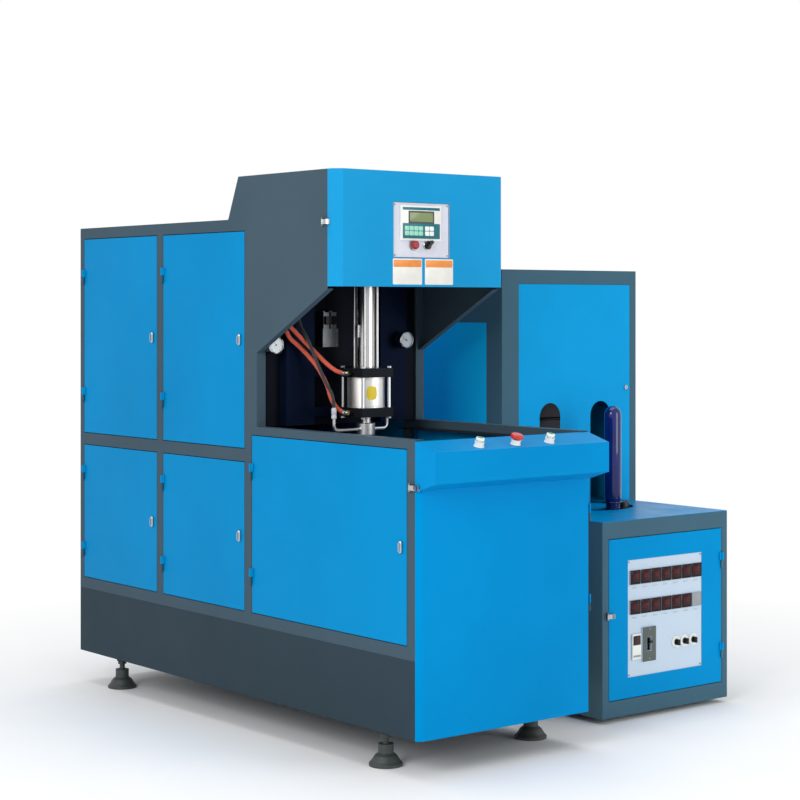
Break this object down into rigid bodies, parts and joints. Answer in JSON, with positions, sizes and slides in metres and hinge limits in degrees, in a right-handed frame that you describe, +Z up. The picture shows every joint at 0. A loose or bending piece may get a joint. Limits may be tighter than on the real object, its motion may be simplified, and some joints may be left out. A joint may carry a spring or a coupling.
{
  "type": "blow moulding machine",
  "caption": "Semi-automatic stretch blow moulding machine with hinged cabinet doors, a sliding mould clamp and blow nozzle, and a preform heater with a turntable.",
  "frame": {"origin": "middle of the footprint, on the floor under the feet", "axes": "+Z up; -Y is the operator's side with the front panel; +X runs from the blower to the heater at its right"},
  "size_m": [1.846, 2.325, 2.059],
  "materials": {
    "plinth_paint": "satin powder coat",
    "frame_paint": "satin powder coat",
    "blue_paint": "semi-gloss powder coat",
    "hood_blue": "semi-gloss powder coat",
    "front_blue": "semi-gloss powder coat",
    "oven_grey": "satin powder coat",
    "black_sheet": "satin black",
    "foot_iron": "painted cast",
    "receiver_paint": "satin paint",
    "mould_aluminium": "machined",
    "machined_steel": "machined",
    "ground_steel": "ground",
    "polished_tube": "polished",
    "black_plate": "black oxide plates with a polished barrel",
    "beam_paint": "dark blue paint",
    "chrome": "polished",
    "valve_alloy": "cast and black coils",
    "red_hose": "woven cover",
    "black_hose": "smooth",
    "white_plate": "satin",
    "keypad": "satin with teal keys",
    "red_button": "gloss",
    "white_button": "gloss",
    "black_knob": "satin",
    "preform_pet": "translucent tinted",
    "lamp": "clear quartz on a bright reflector"
  },
  "bodies": {
    "root": {"base_plinth": "plinth_paint", "cabinet_frame": "frame_paint", "fixed_panels": "blue_paint", "cabinet_covers": "frame_paint", "inner_plates": "black_sheet", "levelling_feet": "foot_iron", "air_receiver": "receiver_paint", "clamp_frame": "machined_steel", "tie_bars": "ground_steel", "clamp_cylinder": "machined_steel", "stretch_cylinder": "polished_tube", "seal_cylinder": "black_plate", "station_bracket": "beam_paint", "pressure_gauges": "chrome", "air_valve_unit": "valve_alloy", "red_air_hoses": "red_hose", "black_air_hose": "black_hose", "oven_base": "oven_grey", "oven_table": "blue_paint", "oven_tower": "oven_grey", "oven_panels": "blue_paint", "lamp_bank": "lamp"},
    "mould_door": {"mould_door": "blue_paint"},
    "mould_latch": {"mould_latch": "chrome"},
    "mid_lower_door": {"mid_lower_door": "blue_paint"},
    "mid_lower_latch": {"mid_lower_latch": "chrome"},
    "mid_upper_door": {"mid_upper_door": "blue_paint"},
    "mid_upper_latch": {"mid_upper_latch": "chrome"},
    "rear_lower_door": {"rear_lower_door": "blue_paint"},
    "rear_lower_latch": {"rear_lower_latch": "chrome"},
    "rear_upper_door": {"rear_upper_door": "blue_paint"},
    "rear_upper_latch": {"rear_upper_latch": "chrome"},
    "hood_front_door": {"hood_front_door": "hood_blue", "control_plate": "white_plate", "keypad_unit": "keypad"},
    "hood_stop_button": {"hood_stop_button": "red_button"},
    "hood_selector": {"hood_selector": "black_knob"},
    "hood_toggle_latch": {"hood_toggle_latch": "chrome"},
    "front_panel": {"front_panel": "front_blue"},
    "start_button_left": {"start_button_left": "white_button"},
    "start_button_right": {"start_button_right": "white_button"},
    "emergency_button": {"emergency_button": "red_button"},
    "front_toggle_latch": {"front_toggle_latch": "chrome"},
    "rear_mould": {"rear_platen": "machined_steel", "rear_mould_half": "mould_aluminium"},
    "front_mould": {"front_platen": "machined_steel", "front_mould_half": "mould_aluminium"},
    "blow_nozzle": {"blow_nozzle": "chrome"},
    "stretch_rod": {"stretch_rod": "chrome"},
    "oven_lock": {"oven_lock": "chrome"},
    "box_door": {"box_door": "blue_paint", "meter_panel": "white_plate"},
    "box_toggle_latch": {"box_toggle_latch": "chrome"},
    "breaker_lever": {"breaker_lever": "black_knob"},
    "control_knob_1": {"control_knob_1": "black_knob"},
    "control_knob_2": {"control_knob_2": "black_knob"},
    "control_knob_3": {"control_knob_3": "black_knob"},
    "turntable": {"turntable": "ground_steel", "mandrels": "chrome", "preform": "preform_pet"}
  },
  "joints": [
    {"name": "mould_door_swing", "type": "hinge", "parent": "root", "child": "mould_door", "pos_m": [-0.912, -0.104, 0.439], "axis": [0, 0, -1], "range_deg": [0, 110]},
    {"name": "mould_latch_turn", "type": "hinge", "parent": "mould_door", "child": "mould_latch", "pos_m": [-0.906, -0.9855, 0.769], "axis": [1, 0, 0], "range_deg": [0, 90]},
    {"name": "mid_lower_door_swing", "type": "hinge", "parent": "root", "child": "mid_lower_door", "pos_m": [-0.912, 0.511, 0.439], "axis": [0, 0, -1], "range_deg": [0, 110]},
    {"name": "mid_lower_latch_turn", "type": "hinge", "parent": "mid_lower_door", "child": "mid_lower_latch", "pos_m": [-0.906, -0.0285, 0.718], "axis": [1, 0, 0], "range_deg": [0, 90]},
    {"name": "mid_upper_door_swing", "type": "hinge", "parent": "root", "child": "mid_upper_door", "pos_m": [-0.912, 0.511, 1.044], "axis": [0, 0, -1], "range_deg": [0, 110]},
    {"name": "mid_upper_latch_turn", "type": "hinge", "parent": "mid_upper_door", "child": "mid_upper_latch", "pos_m": [-0.906, -0.0285, 1.45], "axis": [1, 0, 0], "range_deg": [0, 90]},
    {"name": "rear_lower_door_swing", "type": "hinge", "parent": "root", "child": "rear_lower_door", "pos_m": [-0.912, 1.131, 0.439], "axis": [0, 0, -1], "range_deg": [0, 110]},
    {"name": "rear_lower_latch_turn", "type": "hinge", "parent": "rear_lower_door", "child": "rear_lower_latch", "pos_m": [-0.906, 0.5855, 0.718], "axis": [1, 0, 0], "range_deg": [0, 90]},
    {"name": "rear_upper_door_swing", "type": "hinge", "parent": "root", "child": "rear_upper_door", "pos_m": [-0.912, 1.131, 1.044], "axis": [0, 0, -1], "range_deg": [0, 110]},
    {"name": "rear_upper_latch_turn", "type": "hinge", "parent": "rear_upper_door", "child": "rear_upper_latch", "pos_m": [-0.906, 0.5855, 1.45], "axis": [1, 0, 0], "range_deg": [0, 90]},
    {"name": "hood_door_swing", "type": "hinge", "parent": "root", "child": "hood_front_door", "pos_m": [-0.1, -0.5707, 1.645], "axis": [0, 0, 1], "range_deg": [0, 110]},
    {"name": "hood_stop_press", "type": "slide", "parent": "hood_front_door", "child": "hood_stop_button", "axis": [0, 1, 0], "range_m": [0, 0.005], "stiffness_N_per_m": 600},
    {"name": "hood_selector_turn", "type": "hinge", "parent": "hood_front_door", "child": "hood_selector", "pos_m": [-0.488, -1.0675, 1.796], "axis": [0, 1, 0], "range_deg": [-90, 0]},
    {"name": "hood_toggle_swing", "type": "hinge", "parent": "root", "child": "hood_toggle_latch", "pos_m": [-0.915, -0.5545, 1.872], "axis": [0, 0, -1], "range_deg": [0, 150]},
    {"name": "front_panel_swing", "type": "hinge", "parent": "root", "child": "front_panel", "pos_m": [-0.1, -1.0557, 0.395], "axis": [0, 0, 1], "range_deg": [0, 100]},
    {"name": "start_press_left", "type": "slide", "parent": "front_panel", "child": "start_button_left", "axis": [0, 0.2792, -0.9602], "range_m": [0, 0.005], "stiffness_N_per_m": 600},
    {"name": "start_press_right", "type": "slide", "parent": "front_panel", "child": "start_button_right", "axis": [0, 0.2792, -0.9602], "range_m": [0, 0.005], "stiffness_N_per_m": 600},
    {"name": "emergency_press", "type": "slide", "parent": "front_panel", "child": "emergency_button", "axis": [0, 0.2792, -0.9602], "range_m": [0, 0.005], "stiffness_N_per_m": 600},
    {"name": "front_toggle_swing", "type": "hinge", "parent": "root", "child": "front_toggle_latch", "pos_m": [-0.915, -1.0395, 0.972], "axis": [0, 0, -1], "range_deg": [0, 150]},
    {"name": "rear_mould_open", "type": "slide", "parent": "root", "child": "rear_mould", "axis": [0, 1, 0], "range_m": [0, 0.23]},
    {"name": "front_mould_open", "type": "slide", "parent": "root", "child": "front_mould", "axis": [0, -1, 0], "range_m": [0, 0.23]},
    {"name": "nozzle_lower", "type": "slide", "parent": "root", "child": "blow_nozzle", "axis": [0, 0, -1], "range_m": [0, 0.08]},
    {"name": "rod_stretch", "type": "slide", "parent": "root", "child": "stretch_rod", "axis": [0, 0, -1], "range_m": [0, 0.45]},
    {"name": "oven_lock_turn", "type": "hinge", "parent": "root", "child": "oven_lock", "pos_m": [0.854, -0.3005, 1.235], "axis": [0, 1, 0], "range_deg": [0, 90]},
    {"name": "box_door_swing", "type": "hinge", "parent": "root", "child": "box_door", "pos_m": [0.8435, -0.8475, 0.082], "axis": [0, 0, 1], "range_deg": [0, 110]},
    {"name": "box_toggle_swing", "type": "hinge", "parent": "root", "child": "box_toggle_latch", "pos_m": [0.201, -0.8505, 0.406], "axis": [0, 0, -1], "range_deg": [0, 150]},
    {"name": "breaker_switch", "type": "hinge", "parent": "box_door", "child": "breaker_lever", "pos_m": [0.429, -0.8345, 0.28], "axis": [1, 0, 0], "range_deg": [0, 50]},
    {"name": "control_knob_1_turn", "type": "hinge", "parent": "box_door", "child": "control_knob_1", "pos_m": [0.583, -0.8385, 0.27], "axis": [0, 1, 0], "range_deg": [-135, 135]},
    {"name": "control_knob_2_turn", "type": "hinge", "parent": "box_door", "child": "control_knob_2", "pos_m": [0.63, -0.8385, 0.27], "axis": [0, 1, 0], "range_deg": [-135, 135]},
    {"name": "control_knob_3_turn", "type": "hinge", "parent": "box_door", "child": "control_knob_3", "pos_m": [0.679, -0.8385, 0.27], "axis": [0, 1, 0], "range_deg": [-135, 135]},
    {"name": "turntable_spin", "type": "hinge", "parent": "root", "child": "turntable", "pos_m": [0.565, -0.3595, 0.73], "axis": [0, 0, 1], "continuous": true}
  ],
  "couplings": [
    {"joint": "front_mould_open", "follows": "rear_mould_open", "ratio": 1}
  ]
}
